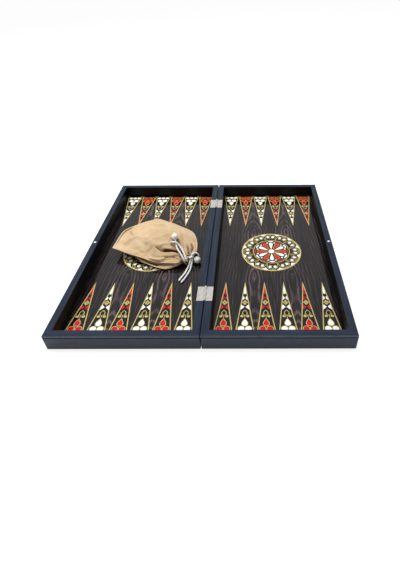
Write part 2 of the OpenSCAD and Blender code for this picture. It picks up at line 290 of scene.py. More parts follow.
def polished_finish(name, low, high):
    """Cast resin with slow swirls and light handling marks."""
    f = Finish(name, Coat_Weight=0.5, Coat_Roughness=0.08)
    bend = f.noise(f.place, 60.0, 3.0)
    swirl = (f.x * 0.22 + f.z * 0.5 + bend * 9.0).sin() * 0.5 + 0.5
    marks = f.noise(f.place, 1100.0, 3.0)
    f.feed(Base_Color=f.mix(swirl, srgb(*low), srgb(*high)), Roughness=0.16 + 0.12 * marks)
    return f.bump(marks, 0.00002).material


RAIL_X, RAIL_Y = rail_finish("rail_stain_across", "x"), rail_finish("rail_stain_along", "y")
VENEER = veneer_finish()
GROUND = inlay_finish("inlay_ground", (4, 3, 3), (12, 9, 10))
GOLD = inlay_finish("inlay_gold_line", (160, 142, 66), (214, 198, 122), 0.2, 0.3)
RED = inlay_finish("inlay_red_shell", (122, 0, 10), (208, 0, 16))
PEARL = inlay_finish("inlay_pearl_shell", (226, 228, 226), (252, 252, 248))
NICKEL, MAGNET, COTTON, CORD = nickel_finish(), magnet_finish(), cloth_finish(), cord_finish()
BEAD = polished_finish("bead_resin", (250, 249, 245), (254, 254, 251))
DICE = polished_finish("dice_resin", (226, 222, 210), (238, 235, 226))
LIGHT = polished_finish("light_checker_resin", (214, 200, 168), (236, 228, 206))
DARK = polished_finish("dark_checker_resin", (58, 6, 10), (112, 12, 20))

for name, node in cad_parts.items():
    if "_rail" in name:
        finish = RAIL_X if "front" in name or "rear" in name else RAIL_Y
    elif "_panel" in name:
        finish = VENEER
    elif "_magnet" in name:
        finish = MAGNET
    elif "hinge" in name or "screws" in name:
        finish = NICKEL
    else:
        finish = {"light_checkers": LIGHT, "dark_checkers": DARK, "dice": DICE}.get(name, CORD)
    for place in node.material_slots:
        place.material = finish


# ---- Meshes ----

def add_piece(name, verts, faces, material, body, smooth=True):
    """A mesh piece that rides on a body."""
    mesh = bpy.data.meshes.new(name)
    mesh.from_pydata([tuple(v) for v in verts], [], [tuple(f) for f in faces])
    mesh.polygons.foreach_set("use_smooth", [smooth] * len(mesh.polygons))
    mesh.materials.append(material)
    mesh.update()
    piece = bpy.data.objects.new(name, mesh)
    scene.collection.objects.link(piece)
    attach(piece, body)
    return piece


def smooth_path(points, step):
    """Points about a step apart on a smooth curve through the given points, and its length."""
    p = [Vector(q) for q in points]
    p = [2 * p[0] - p[1]] + p + [2 * p[-1] - p[-2]]
    dense = []
    for i in range(1, len(p) - 2):
        a, b, c, d = p[i - 1:i + 3]
        for t in np.arange(40) / 40:
            dense.append(0.5 * ((2 * b) + (c - a) * t + (2 * a - 5 * b + 4 * c - d) * t * t
                                + (3 * b - 3 * c + d - a) * t ** 3))
    dense = np.array(dense + [p[-2]])
    along = np.concatenate([[0], np.cumsum(np.linalg.norm(np.diff(dense, axis=0), axis=1))])
    at = np.linspace(0, along[-1], max(4, round(along[-1] / step)) + 1)
    return np.stack([np.interp(at, along, dense[:, k]) for k in range(3)], 1), along[-1]


def frames_along(path):
    """Two square directions at each point of a path, with no twist along it."""
    tangents = np.gradient(path, axis=0)
    tangents /= np.linalg.norm(tangents, axis=1)[:, None]
    side, sides = np.cross(tangents[0], (0.2, 0.1, 1.0)), []
    for t in tangents:
        side = side - t * (side @ t)
        side = side / np.linalg.norm(side)
        sides.append(side)
    sides = np.array(sides)
    return sides, np.cross(tangents, sides)


def tube(path, radii, sides):
    """Points and faces of a closed tube; radii is one number, or one for each ring and side."""
    u, w = frames_along(path)
    angle = np.arange(sides) * 2 * math.pi / sides
    radii = np.broadcast_to(radii, (len(path), sides))
    rings = (path[:, None] + radii[:, :, None] * (np.cos(angle)[None, :, None] * u[:, None]
                                                  + np.sin(angle)[None, :, None] * w[:, None]))
    verts = rings.reshape(-1, 3).tolist()
    faces = [(i * sides + k, i * sides + (k + 1) % sides, (i + 1) * sides + (k + 1) % sides,
              (i + 1) * sides + k) for i in range(len(path) - 1) for k in range(sides)]
    faces += [tuple(range(sides))[::-1], tuple((len(path) - 1) * sides + k for k in range(sides))]
    return verts, faces


# ---- Cords ----

mouth = np.array([-45.0, -42.08, 18.0])
cord_d = 3.4
cord_sides = 32
routes = {  # from the mouth, as in the CAD, but bead_cord ends 3.6 mm sooner and looped_cord's arch is wider
    "bead_cord": [[-3.8, -2.5, -4], [-6.5, -3.9, 3.4], [-11.9, 3, 10], [-17.3, 10, 14.2], [-21.7, 17, 17],
                  [-24, 24.5, 20.5], [-27, 35.5, 30.5], [-28.2, 39.9, 34.5]],
    "knotted_cord": [[0.3, -1.7, -3], [-2, -3.7, 4.3], [-6, 4.8, 10.8], [-11, 13.3, 15], [-16, 20, 18.8],
                     [-20, 23, 22.4], [-25, 24.5, 25], [-31, 25, 24.5], [-37, 26, 24.5]],
    "looped_cord": [[2.5, 1.5, 3], [6.5, 3, 4.5], [10, 6.1, 8.9], [14.3, 9.5, 9.5],
                    [19.2, 10.7, 6.6], [21.1, 9.4, 0.9], [18, 6, -5.7], [17, 4.5, -9]],
    "left_tail_cord": [[6, 2.4, 0.6], [4.6, -1.5, -4], [2.5, -7, -8.5], [0, -15, -11], [-3, -27, -11],
                       [-8, -39, -11], [-11.5, -49, -11]],
    "right_tail_cord": [[9.8, 2.8, 1], [8.5, -3, -4.5], [7, -10.5, -9.5], [5.5, -20, -11], [2, -33, -11],
                        [-2, -44, -11], [-6.5, -54, -11]],
}


def braid(path, length):
    """Radii of a round braid in metres: two families of strands that cross over and under."""
    strands, pitch, end_rings = 4, 6.5, 3
    angle = (np.arange(cord_sides) * 2 * math.pi / cord_sides)[None]
    along = np.linspace(0, length, len(path))[:, None] / (pitch * MM) * 2 * math.pi
    left, right = strands * angle + along, strands * angle - along
    weave = np.cos(2 * strands * angle) * 0.5
    height = np.maximum(np.cos(left) * (1 + weave), np.cos(right) * (1 - weave))
    from_end = np.minimum(np.arange(len(path)), np.arange(len(path))[::-1])[:, None]
    taper = np.sqrt(np.clip(from_end / end_rings, 0.15, 1))
    return (cord_d / 2 * MM) * (0.94 + 0.07 * np.clip(height, -0.6, 1.2)) * taper


def cord_piece(name):
    """One braided cord along its route, in place of the CAD cord of that name."""
    ring_gap = 0.45 * MM
    path, length = smooth_path([(mouth + p) * MM for p in routes[name]], ring_gap)
    verts, faces = tube(path, braid(path, length), cord_sides)
    piece = add_piece("braided_" + name, verts, faces, CORD, "pouch")
    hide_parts(name)


def knot_piece(name, centre, radius, strand, turn):
    """An overhand knot of one strand, drawn up to about the given radius; sizes in millimetres."""
    sides, twists = 14, 12
    t = np.linspace(0, 2 * math.pi, 160, endpoint=False)
    loop = np.stack([np.sin(t) + 2 * np.sin(2 * t), np.cos(t) - 2 * np.cos(2 * t), -1.25 * np.sin(3 * t)], 1)
    loop *= (radius - strand) / 3.1
    path = (centre + loop @ np.array(Matrix.Rotation(turn, 3, (0.3, 1.0, 0.5)))) * MM
    path = np.concatenate([path, path[:1]])
    angle = (np.arange(sides) * 2 * math.pi / sides)[None]
    twist = np.linspace(0, 2 * math.pi * twists, len(path))[:, None]
    verts, faces = tube(path, strand * MM * (0.95 + 0.06 * np.cos(3 * angle + twist)), sides)
    return add_piece(name, verts, faces, CORD, "pouch")


def bead_piece(name, cad_name, centre, way, radius):
    """A turned bead with eased rims round its bore and a faint band at its middle."""
    sides, rounds = 48, 40
    bore = (cord_d + 1) / 2
    opening = math.asin(bore / radius)
    bore_end = radius * math.cos(opening)
    angles = np.linspace(opening + 0.1, math.pi - opening - 0.1, rounds)
    profile = [(bore, -bore_end * 0.8), (bore, 0.45 - bore_end), (bore + 0.12, 0.12 - bore_end)]
    profile += [(radius * math.sin(a) * (1 - 0.012 * math.exp(-((a - math.pi / 2) / 0.05) ** 2)),
                 -radius * math.cos(a)) for a in angles]
    profile += [(r, -h) for r, h in profile[2::-1]]
    turn = np.array(Vector(way).to_track_quat("Z", "Y").to_matrix())
    verts = [(turn @ (r * math.cos(k * 2 * math.pi / sides), r * math.sin(k * 2 * math.pi / sides), h)
              + centre) * MM for r, h in profile for k in range(sides)]
    n = len(profile)
    faces = [(i * sides + k, i * sides + (k + 1) % sides, (i + 1) % n * sides + (k + 1) % sides,
              (i + 1) % n * sides + k) for i in range(n) for k in range(sides)]
    piece = add_piece(name, verts, faces, BEAD, "pouch")
    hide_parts(cad_name)
    return piece


knot_at = mouth + (7.8, 3.5, 4.2)
upper_bead = bead_piece("turned_upper_bead", "upper_bead", mouth + (-27, 35.5, 30.5), (-3, 11, 10), 6.5)
lower_bead = bead_piece("turned_lower_bead", "lower_bead", mouth + (18, 6, -5.7), (-2.5, -3, -7.2), 7.25)
tied_knot = knot_piece("tied_cord_knot", knot_at, 4.6, 1.7, 0.4)
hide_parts("cord_knot")
stop_knot = knot_piece("upper_stop_knot", mouth + (-28.3, 40.6, 34.6), 2.4, 0.9, 1.3)
tail_knot = knot_piece("tail_stop_knot", mouth + (-34, 25.6, 24.6), 3.0, 1.1, 2.1)
cord_piece("bead_cord")
cord_piece("knotted_cord")
cord_piece("looped_cord")
cord_piece("left_tail_cord")
cord_piece("right_tail_cord")


# ---- Inlays: thin plates let into the panels ----

point_length, point_half = 135.0, 18.0
point_pitch = 2 * point_half
INLAYS = {  # finish, height above the panel, slot
    "ground": (GROUND, 0.05, "panel_wood"),
    "red": (RED, 0.10, "inlay_red"),
    "pearl": (PEARL, 0.10, "inlay_pearl"),
    "gold": (GOLD, 0.15, "inlay_gold"),
    "dot": (GROUND, 0.19, "panel_wood"),
}


class Inlay:
    """One half's plates, gathered by colour; outlines are complex numbers in millimetres."""

    def __init__(self):
        self.meshes = {colour: ([], []) for colour in INLAYS}

    def prism(self, colour, loops, caps):
        """Adds the points of one or two loops at both heights, and the faces that cap them."""
        verts, faces = self.meshes[colour]
        start, n = len(verts), len(loops[0])
        for z in (field - 0.02, field + INLAYS[colour][1]):
            for loop in loops:
                verts += [(q.real * MM, q.imag * MM, z * MM) for q in loop]
        layer = n * len(loops)
        for face in caps:
            faces.append(tuple(start + layer + k for k in face))
            faces.append(tuple(start + k for k in face[::-1]))
        return start, n, layer, faces

    def plate(self, colour, outline):
        """A flat plate of an outline."""
        loop = list(outline)
        if sum((loop[k - 1].conjugate() * loop[k]).imag for k in range(len(loop))) < 0:
            loop = loop[::-1]
        start, n, layer, faces = self.prism(colour, [loop], [tuple(range(len(loop)))])
        faces += [(start + k, start + (k + 1) % n, start + layer + (k + 1) % n, start + layer + k)
                  for k in range(n)]

    def band(self, colour, line, width, closed=False):
        """A flat band along a line."""
        line = np.array(line)
        if closed:
            before, after = np.roll(line, 1), np.roll(line, -1)
        else:
            before = np.concatenate([[2 * line[0] - line[1]], line[:-1]])
            after = np.concatenate([line[1:], [2 * line[-1] - line[-2]]])
        a, b = (line - before) / abs(line - before), (after - line) / abs(after - line)
        middle = (a + b) / np.maximum(abs(a + b), 1e-6)
        reach = width / 2 / np.clip((a.conj() * middle).real, 0.5, 1)
        left, right = line + 1j * middle * reach, line - 1j * middle * reach
        n = len(line)
        steps = n if closed else n - 1
        caps = [(n + k, n + (k + 1) % n, (k + 1) % n, k) for k in range(steps)]
        start, n, layer, faces = self.prism(colour, [left, right], caps)
        for k in range(steps):
            j = (k + 1) % n
            faces.append((start + k, start + layer + k, start + layer + j, start + j))
            faces.append((start + n + j, start + layer + n + j, start + layer + n + k, start + n + k))
        if not closed:
            e = n - 1
            faces.append((start + n, start + layer + n, start + layer, start))
            faces.append((start + e, start + layer + e, start + layer + n + e, start + n + e))

    def gem(self, colour, centre, radius, ring, squash=1.0, turn=1.0):
        """A round stone in a gold ring; squash is its size along turn over its size across."""
        corners = 20
        angle = np.exp(1j * np.arange(corners) * 2 * math.pi / corners)

        def oval(r):
            return centre + turn * (r * squash * angle.real + 1j * r * angle.imag)

        self.plate(colour, oval(radius))
        if ring:
            self.band("gold", oval(radius + ring / 2), ring, closed=True)

    def finish(self, side):
        """Makes one piece of each colour on a half of the box."""
        for colour, (verts, faces) in self.meshes.items():
            material, _, slot = INLAYS[colour]
            add_piece(f"{side}_{colour}_inlay", verts, faces, material, f"{side}_half", smooth=False)


def mirrored(outline):
    """An outline given from its top to its foot on one side, closed by its reflection."""
    line = [complex(*q) for q in outline]
    return np.array(line + [complex(-q.real, q.imag) for q in line[::-1] if abs(q.real) > 1e-6])


def point(inlay, base, turn, colour):
    """One long point: gold border, three stones, two stones, a drop, a crest, and a kite at the tip."""
    border = 1.7

    def at(line):
        return base + turn * np.array(line)

    def inner(w):
        """Half the width inside the border at a distance from the foot."""
        return point_half * (1 - w / point_length) - border

    inlay.plate("ground", at([-17.6, 17.6, 130j]))
    inlay.plate("gold", at([18, 135j, -18, -16.2, -1.0 + 117j, 126j, 1.0 + 117j, 16.2]))
    for u in (-1, 1):
        inlay.gem("gold", at(u * 16.1 + 2.4j), 2.2, 0)
        inlay.gem(colour, at(u * 10 + 10j), 4.15, 0.8)
        inlay.gem(colour, at(u * 6.1 + 23.2j), 5.1, 0.95)
        inlay.gem("gold", at(u * 5.1 + 50.2j), 2.5, 0, 1.15, turn)
        inlay.band("gold", at([u * 5.4 + 51.4j, u * 3.6 + 53j, u * 2 + 53.6j, u * 0.6 + 51j]), 0.9)
        inlay.band("gold", at([u * 5.1 + 52j, u * 4.9 + 55.4j]), 0.8)
        inlay.plate(colour, at([u * inner(64.5) + 64.5j, u * inner(77) + 77j, u * 0.9 + 71.4j]))
        inlay.plate(colour, at([u * inner(87.5) + 87.5j, u * inner(97) + 97j, u * 1.7 + 96.4j,
                                u * 0.7 + 92j]))
    inlay.gem(colour, at(10j), 4.15, 0.8)
    drop = mirrored([(0, 45), (2.4, 41.2), (4.6, 37.2), (5.3, 34), (4.4, 31.2), (2.4, 29.4), (0, 28.8)])
    inlay.plate(colour, at(drop))
    inlay.band("gold", at(drop), 1.0, closed=True)
    inlay.band("gold", at([45j, 51.6j]), 0.9)
    loop = mirrored([(0, 64), (2.6, 61.2), (4.1, 58.2), (3.4, 55.2), (1.7, 53), (0, 52)])
    inlay.band("gold", at(loop), 1.05, closed=True)
    inlay.plate("gold", at([5.2 + 82j, 88.2j, -5.2 + 82j, 75.8j]))
    inlay.band("dot", at([3.4 + 82j, 86.0j, -3.4 + 82j, 78.0j]), 0.45, closed=True)
    inlay.gem("dot", at(82j), 1.15, 0)
    kite = mirrored([(0, 125), (1.3, 116), (2.0, 108), (1.9, 104.4), (0.9, 102.8), (0, 103.8)])
    inlay.plate(colour, at(kite))


def medallion(inlay, base):
    """A round rose: twelve petals, a gold ring of arches, and pairs of pearls in twelve scallops."""
    def polar(points, degrees=0.0):
        return base + np.array([r * np.exp(1j * math.radians(a + degrees)) for r, a in points])

    circle = np.arange(120) * 3.0
    inlay.plate("ground", polar([(61.0, a) for a in circle]))
    inlay.band("gold", polar([(60.15, a) for a in circle]), 2.7, closed=True)
    lobes = [(36.0 + 1.9 * abs(math.cos(math.radians(6 * a))), a) for a in circle]
    inlay.band("gold", polar(lobes), 1.5, closed=True)
    inlay.gem("pearl", base, 5.6, 1.0)
    for k in range(12):
        a = 30.0 * k
        colour = "pearl" if k % 2 else "red"
        petal = [(6.6, 0), (12, -7), (17, -9), (22, -10), (25.5, -9.6), (28, -6), (29.2, 0),
                 (28, 6), (25.5, 9.6), (22, 10), (17, 9), (12, 7)]
        inlay.plate(colour, polar(petal, a))
        inlay.band("gold", polar(petal, a), 0.55, closed=True)
        crescent = [(32.4, -11.5), (34.6, -6), (35.4, 0), (34.6, 6), (32.4, 11.5), (31.8, 5), (31.7, -5)]
        inlay.plate(colour, polar(crescent, a))
        inlay.gem("pearl", polar([(29.4, 15)], a)[0], 1.65, 0.5)
        scallop = [(39.6, -13.6), (44, -13.4), (49, -12.6), (53.4, -9.8), (56.6, -5), (57.6, 0),
                   (56.6, 5), (53.4, 9.8), (49, 12.6), (44, 13.4), (39.6, 13.6)]
        inlay.band("gold", polar(scallop, a), 1.05)
        for turn in (-1, 1):
            way = np.exp(1j * math.radians(a + turn * 5.9))
            inlay.gem("pearl", base + 49.6 * way, 2.9, 0.45, 1.12, way)
        inlay.gem("gold", polar([(54.3, 0)], a)[0], 1.5, 0)
        inlay.gem("dot", polar([(54.3, 0)], a)[0], 0.7, 0)
        inlay.band("gold", polar([(43.9, -9.6), (45.3, -5), (45.7, 0), (45.3, 5), (43.9, 9.6)], a), 0.7)
        inlay.gem("gold", polar([(40.6, 15)], a)[0], 2.1, 0)
        wedge = [(58.8, -7.4), (58.8, -3.5), (58.8, 0), (58.8, 3.5), (58.8, 7.4), (56.4, 3.2), (52.8, 0),
                 (56.4, -3.2)]
        inlay.plate("pearl", polar(wedge, a + 15))


for side, sign in (("left", -1), ("right", 1)):
    inlay = Inlay()
    for k in range(6):
        across = sign * half_middle + (k - 2.5) * point_pitch
        point(inlay, complex(across, -wall_y + 0.1), 1, ("red", "pearl")[k % 2])
        point(inlay, complex(across, wall_y - 0.1), -1, ("pearl", "red")[k % 2])
    medallion(inlay, sign * half_middle)
    inlay.finish(side)


# ---- The drawstring bag ----

bottom_seam = [(-199.1, -11.8, 25), (-195.1, 12.2, 27), (-190.7, 29.9, 30), (-184.2, 40.5, 32),
               (-162.2, 54.6, 35), (-142.6, 64.1, 37), (-120.5, 72.2, 38)]
front_seam = [(-199.1, -11.8, 25), (-174.5, -22.7, 24), (-143.7, -35, 22), (-107, -48.2, 19),
              (-82.5, -50.2, 17.5), (-63.4, -49.5, 17)]
rear_seam = [(-120.5, 72.2, 38), (-86.8, 54.2, 38), (-67.8, 44.6, 36), (-49.3, 35.2, 33), (-40, 27.4, 30),
             (-33.2, 11.1, 27), (-30.4, -7.7, 24), (-32.2, -22.7, 21)]
main_fold = [(-116, -19), (-101.1, -25.8), (-92.8, -28.6), (-77.2, -28.2), (-62, -28.3), (-53, -32)]
lower_fold = [(-99, -42), (-90, -40.4), (-80, -39.2), (-66, -38.0), (-54, -37.5)]
mouth_fold = [(-49, -11), (-45.5, -20), (-44.5, -31)]
rear_fold = [(-42, -3), (-38, -14), (-41, -28)]
folds = [  # line, depth, half-width; a depth below 0 is a ridge
    (main_fold, 7.0, 2.4),
    (lower_fold, 4.0, 2.2),
    (mouth_fold, 5.0, 2.4),
    (rear_fold, 4.5, 2.4),
    ([(-63, 8), (-56, -8), (-50, -28)], 3.0, 3.0),
    ([(-150, 34), (-141, 5), (-130, -22), (-118, -33)], 2.2, 7.0),
    ([(-170, -15), (-146, -25), (-126, -38), (-104, -44.5), (-84, -45), (-64, -43)], 2.6, 3.0),
    ([(-97, -12), (-82, -17.5), (-66, -19), (-54, -25)], -1.6, 3.4),
    ([(-72, 24), (-62, 2), (-52, -20)], -1.6, 3.6),
    ([(-178, 22), (-160, 0), (-152, -18)], -1.4, 8.0),
    ([(-112, 58), (-108, 40), (-110, 20)], -1.2, 9.0),
]
crease_shade_lines = [  # line, strength and half-width of the painted shade in a fold
    (main_fold[1:], 1.9, 1.9), (lower_fold, 0.6, 1.2), (mouth_fold, 0.7, 1.4), (rear_fold, 0.75, 1.4)]
heights = np.array([  # the upper panel between its seams
    (-180, 4, 30), (-176, 22, 34), (-166, 10, 37), (-160, 34, 41), (-158, -4, 37), (-148, 18, 44),
    (-142, 44, 44), (-138, -12, 40), (-130, 30, 47.5), (-130, 4, 46), (-124, -24, 38), (-118, 54, 44.5),
    (-110, 42, 48.5), (-110, 18, 50.5), (-112, -8, 45), (-108, -22, 39), (-116, -34, 32), (-95, 30, 49),
    (-95, 8, 47), (-94, -10, 43.5), (-92, -22, 37), (-80, 30, 44), (-78, 10, 44.5), (-76, -8, 41.5),
    (-74, -21, 35), (-64, 26, 40), (-62, 6, 40.5), (-60, -9, 37.5), (-58, -22, 31), (-50, 16, 35),
    (-47, 2, 34), (-46, -12, 31.5), (-40, 8, 31), (-38, -8, 28.5), (-98, -34, 29.5), (-84, -34.5, 28.5),
    (-70, -33.5, 27.5), (-60, -32, 26.5), (-96, -46, 22.5), (-80, -46, 21.8), (-66, -44, 20.5)])
neck = np.array([-52.0, -36.9, 17.5])
neck_radius = 7.2
neck_way = np.array([0.80, -0.60, 0.0])
neck_side = np.array([0.60, 0.80, 0.0])
frill_rings = [(1.6, 6.9), (3.2, 6.6), (5.0, 6.9), (6.8, 7.6), (8.4, 8.4), (9.8, 9.0)]  # reach, radius
belly = 5.6  # height of the lower panel's middle
rows, columns = 92, 62


def resample(points, count):
    """A count of points, evenly spaced on a smooth curve through the given points."""
    path, _ = smooth_path(points, 0.5)
    return path[np.linspace(0, len(path) - 1, count).round().astype(int)]


def near_line(xy, line):
    """How far each point lies from a line of points, and how far along the line that is, 0 to 1."""
    path, _ = smooth_path([(x, y, 0) for x, y in line], 1.0)
    gaps = np.linalg.norm(xy[:, None] - path[None, :, :2], axis=2)
    return gaps.min(1), gaps.argmin(1) / (len(path) - 1)


def smoothstep(low, high, value):
    """0 below low, 1 above high, and smooth between them."""
    t = np.clip((value - low) / (high - low), 0, 1)
    return t * t * (3 - 2 * t)


def height_field(known, xy):
    """A thin plate through known (x, y, z) points, read at other points."""
    def bend(a, b):
        gap = np.maximum(np.linalg.norm(a[:, None] - b[None], axis=2), 1e-6)
        return gap * gap * np.log(gap)

    n, ease = len(known), 6.0
    flat = np.concatenate([np.ones((n, 1)), known[:, :2]], 1)
    system = np.block([[bend(known[:, :2], known[:, :2]) + ease * np.eye(n), flat],
                       [flat.T, np.zeros((3, 3))]])
    weights = np.linalg.solve(system, np.concatenate([known[:, 2], np.zeros(3)]))
    plane = np.concatenate([np.ones((len(xy), 1)), xy], 1)
    return bend(xy, known[:, :2]) @ weights[:n] + plane @ weights[n:]


def fold_depths(xy, t, s):
    """How deep the folds press the upper panel at each point."""
    depths = np.zeros(len(xy))
    weight = ((4 * t * (1 - t))[None] ** 0.25 * (1 - smoothstep(0.97, 1.0, s))).reshape(-1)
    for line, depth, width in folds:
        gap, along = near_line(xy, line)
        taper = smoothstep(0, 0.3, along) * (0.35 + 0.65 * smoothstep(0, 0.25, 1 - along))
        depths += depth * np.exp(-(gap / width) ** 2) * taper * weight
    return depths


def bag_side(upper):
    """Rows of points of one panel, from the bottom seam to the frill at the mouth, and its folds' depths."""
    t = np.linspace(0, 1, columns)
    s = np.linspace(0, 1, rows)[:, None]
    crown = (4 * t * (1 - t))[None]
    half_turn = np.pi * t[:, None]
    face = 1 if upper else -1
    circle = -np.cos(half_turn) * neck_side + face * np.sin(half_turn) * np.array([0, 0, 1.0])
    ring = neck + neck_radius * circle
    foot, front = resample(bottom_seam, columns), resample(front_seam + [ring[0]], rows)
    rear = resample(rear_seam + [ring[-1]], rows)
    t3, s3 = t[None, :, None], s[:, :, None]
    corners = (1 - s3) * ((1 - t3) * foot[0] + t3 * foot[-1]) + s3 * ((1 - t3) * ring[0] + t3 * ring[-1])
    sheet = ((1 - t3) * front[:, None] + t3 * rear[:, None] + (1 - s3) * foot[None] + s3 * ring[None]
             - corners)
    fade = 1 - smoothstep(0.86, 1.0, s)
    if upper:
        edge = np.concatenate([foot[::4], front[:-8:5], rear[:-8:5]])
        top = height_field(np.concatenate([heights, edge]), sheet.reshape(-1, 3)[:, :2])
        near_edge = np.minimum(smoothstep(0, 0.05, crown), smoothstep(0, 0.03, s)) * fade
        sheet[..., 2] += (top.reshape(rows, columns) - sheet[..., 2]) * near_edge
        depths = fold_depths(sheet.reshape(-1, 3)[:, :2], t, s)
    else:
        dome = crown ** 0.42 * (1 - (1 - np.clip(s / 0.16, 0, 1)) ** 2) ** 0.5
        sheet[..., 2] += ((belly - sheet[..., 2]) * dome * (0.25 + 0.75 * fade)
                          * (1 - smoothstep(0.93, 1.0, s)))
        bulge = np.exp(-((t[None] - 0.13) / 0.08) ** 2) - 0.25 * np.exp(-((t[None] - 0.03) / 0.02) ** 2)
        lobe = smoothstep(0.22, 0.5, s) * (1 - smoothstep(0.8, 0.97, s)) * bulge
        sheet[..., :2] -= 17.0 * lobe[..., None] * neck_side[:2]
        depths = np.zeros(rows * columns)
    pleat = smoothstep(0.62, 1.0, s) * crown ** 0.25
    phase = 0.6 * np.sin(5 * s) + (0.9 if upper else 2.3)
    sheet[..., 2] += (1.3 if upper else -0.6) * pleat * np.sin(2 * np.pi * 6.5 * t[None] + phase) * fade
    depths = np.concatenate([depths, np.zeros(len(frill_rings) * columns)]).reshape(-1, columns)
    frill = []
    for step, (reach, radius) in enumerate(frill_rings):
        wave = 1 + 0.10 * np.sin(7 * half_turn + (0.4 if upper else 1.9)) * (0.4 + 0.15 * step)
        frill.append(neck + neck_way * reach + radius * wave * circle)
    return np.concatenate([sheet, np.array(frill)]), depths


(upper_side, upper_depths), (lower_side, lower_depths) = bag_side(True), bag_side(False)
grid = np.concatenate([upper_side, lower_side[:, 1:-1][:, ::-1]], 1)
around = grid.shape[1]


def sewn(v):
    """A point's number, with the upper panel's for the bottom seam, which both panels share."""
    return around - v if columns <= v < around else v


bag_faces = [tuple(sewn(v) for v in (i * around + k, i * around + (k + 1) % around,
                                     (i + 1) * around + (k + 1) % around, (i + 1) * around + k))
             for i in range(len(grid) - 1) for k in range(around)]
used = sorted({v for f in bag_faces for v in f})
renumber = {v: n for n, v in enumerate(used)}
bag_faces = [tuple(renumber[v] for v in f) for f in bag_faces]
bag_verts = grid.reshape(-1, 3)[used]
bag_depths = np.concatenate([upper_depths, lower_depths[:, 1:-1][:, ::-1]], 1).reshape(-1)[used]
on_top = np.array([v % around < columns for v in used])
held = [renumber[v] for v in used
        if v < around or v % around in (0, columns - 1) or v // around >= rows - 3]
cord_lines = [smooth_path([mouth + p for p in route], 1.2)[0] for route in routes.values()]


def keep_clear(points, lines, gap):
    """Moves points away from lines of points until they are a gap off."""
    for line in lines:
        for _ in range(2):
            away = points[:, None] - line[None]
            far = np.linalg.norm(away, axis=2)
            nearest = far.argmin(1)
            distance = far.min(1)
            push = np.clip(gap - distance, 0, None)[:, None]
            points += push * away[np.arange(len(points)), nearest] / np.maximum(distance, 0.05)[:, None]
    return points


def press_down(points):
    """Lowers the cloth under the cords, bead and knots that lie on it."""
    left_of, above, lowest = -46.0, 22.0, 14.0
    clearance, hollow, slope = 2.9, 2.0, 0.04
    over = [mouth + (-27, 35.5, 26.3), mouth + (-29.2, 43.5, 34.4), mouth + (-34, 25.6, 23.6)]
    over = np.array([q for line in cord_lines for q in line if q[0] < left_of and q[2] > above] + over)
    gap = np.linalg.norm(points[:, None, :2] - over[None, :, :2], axis=2)
    ceiling = (over[None, :, 2] - clearance + slope * np.clip(gap - hollow, 0, None) ** 2).min(1)
    points[:, 2] = np.minimum(points[:, 2], np.maximum(ceiling, lowest))
    return points


def round_contents(points):
    """Keeps the cloth outside the checkers and dice in the bag."""
    margin, cell, spread = 1.1, 2.0, 3
    contents = [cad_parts[name] for name in ("light_checkers", "dark_checkers", "dice")]
    inside = np.concatenate([[tuple(node.matrix_world @ v.co) for v in node.data.vertices]
                             for node in contents]) / MM
    low = inside.min(0)[:2] - cell * (spread + 1)
    size = ((inside.max(0)[:2] - low) / cell).astype(int) + spread + 3
    highest, lowest = np.full(size, -1e3), np.full(size, 1e3)
    at = ((inside[:, :2] - low) / cell).astype(int)
    for i in range(-spread, spread + 1):
        for j in range(-spread, spread + 1):
            if i * i + j * j <= spread * spread:
                np.maximum.at(highest, (at[:, 0] + i, at[:, 1] + j), inside[:, 2])
                np.minimum.at(lowest, (at[:, 0] + i, at[:, 1] + j), inside[:, 2])
    i, j = np.clip(((points[:, :2] - low) / cell).astype(int), 0, size - 1).T
    points[:, 2] = np.where(on_top, np.maximum(points[:, 2], highest[i, j] + margin),
                            np.minimum(points[:, 2], lowest[i, j] - margin))
    return points


def tuck(points, line, reach, width):
    """Leans the cloth behind a fold forward over it."""
    gap, along = near_line(points[:, :2], line)
    leg = (along * (len(line) - 1)).astype(int).clip(0, len(line) - 2)
    corners = np.array(line, dtype=float)
    run = corners[leg + 1] - corners[leg]
    off = points[:, :2] - corners[leg]
    behind = np.sign(run[:, 0] * off[:, 1] - run[:, 1] * off[:, 0])
    amount = (smoothstep(0, 0.2, along) * smoothstep(0, 0.2, 1 - along) * on_top
              * np.exp(-((gap * behind - 2.4) / width) ** 2))
    points[:, 1] -= reach * amount
    points[:, 0] -= 0.3 * reach * amount


def points_of(piece):
    """A mesh piece's points in millimetres."""
    return np.array([v.co[:] for v in piece.data.vertices]) / MM


def place_points(piece, points):
    """Moves a mesh piece's points to places in millimetres."""
    piece.data.vertices.foreach_set("co", (points * MM).ravel())
    piece.data.update()


def apply_modifiers(piece):
    """Makes the modified mesh the piece's own."""
    graph = bpy.context.evaluated_depsgraph_get()
    mesh = bpy.data.meshes.new_from_object(piece.evaluated_get(graph))
    piece.modifiers.clear()
    piece.data = mesh


